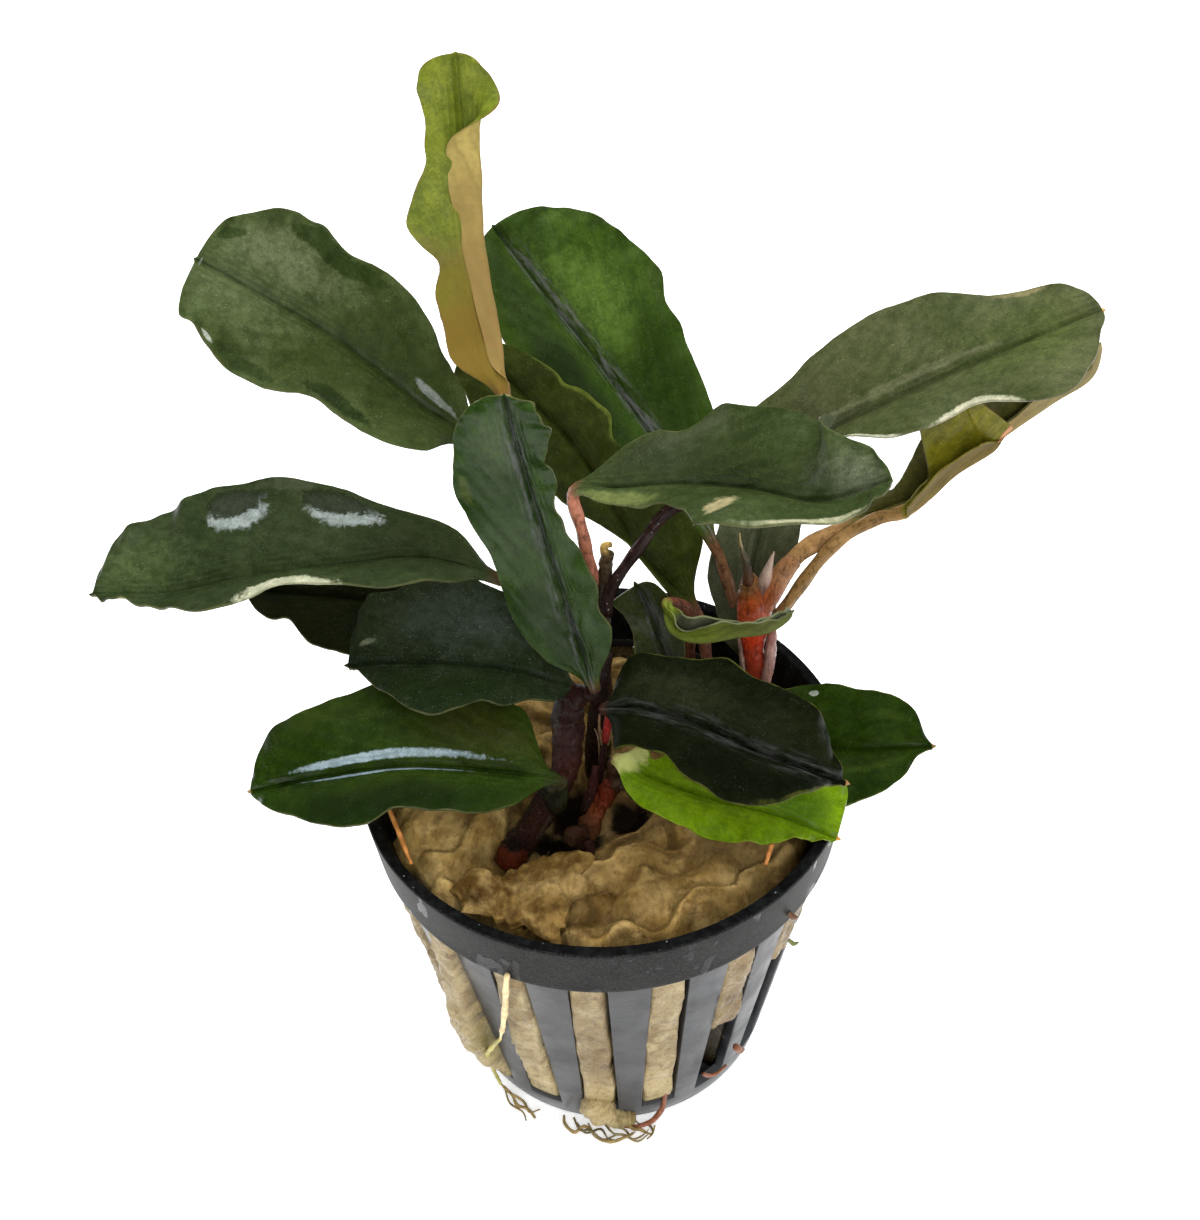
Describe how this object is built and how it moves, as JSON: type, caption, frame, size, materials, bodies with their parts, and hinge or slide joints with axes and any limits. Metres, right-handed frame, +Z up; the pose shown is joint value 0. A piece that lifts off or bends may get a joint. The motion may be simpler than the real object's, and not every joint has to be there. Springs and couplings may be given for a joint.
{
  "type": "potted bucephalandra plant",
  "caption": "Small rosette of broad glossy aquarium-plant leaves on short dark stems, growing in a rockwool plug in a slotted net pot.",
  "frame": {"origin": "centre of the pot's underside", "axes": "+Z up, the plant is seen from -Y in the picture, +X to the right"},
  "size_m": [0.0959, 0.0594, 0.1086],
  "materials": {
    "pot": "black injection-moulded plastic, moist",
    "rockwool": "wet felted mineral fibre",
    "stem": "smooth waxy plant stem",
    "root": "matt plant root",
    "leaf": "wet glossy plant leaf"
  },
  "bodies": {
    "root": {"leaf_back": "leaf", "leaf_big_right": "leaf", "leaf_boat": "leaf", "leaf_centre": "leaf", "leaf_front_right": "leaf", "leaf_gold": "leaf", "leaf_left": "leaf", "leaf_left_under": "leaf", "leaf_lime": "leaf", "leaf_lower_front": "leaf", "leaf_lower_left": "leaf", "leaf_lower_right": "leaf", "leaf_middle_left": "leaf", "leaf_olive": "leaf", "leaf_small": "leaf", "leaf_tall": "leaf", "leaf_under_right": "leaf", "leaf_upper_back": "leaf", "leaf_upper_left": "leaf", "pot": "pot", "rockwool": "rockwool", "root_left": "root", "root_right": "root", "stem_back": "stem", "stem_crown": "stem", "stem_front": "stem", "stem_front_foot": "stem", "stem_red": "stem", "stem_side": "stem"}
  },
  "joints": []
}
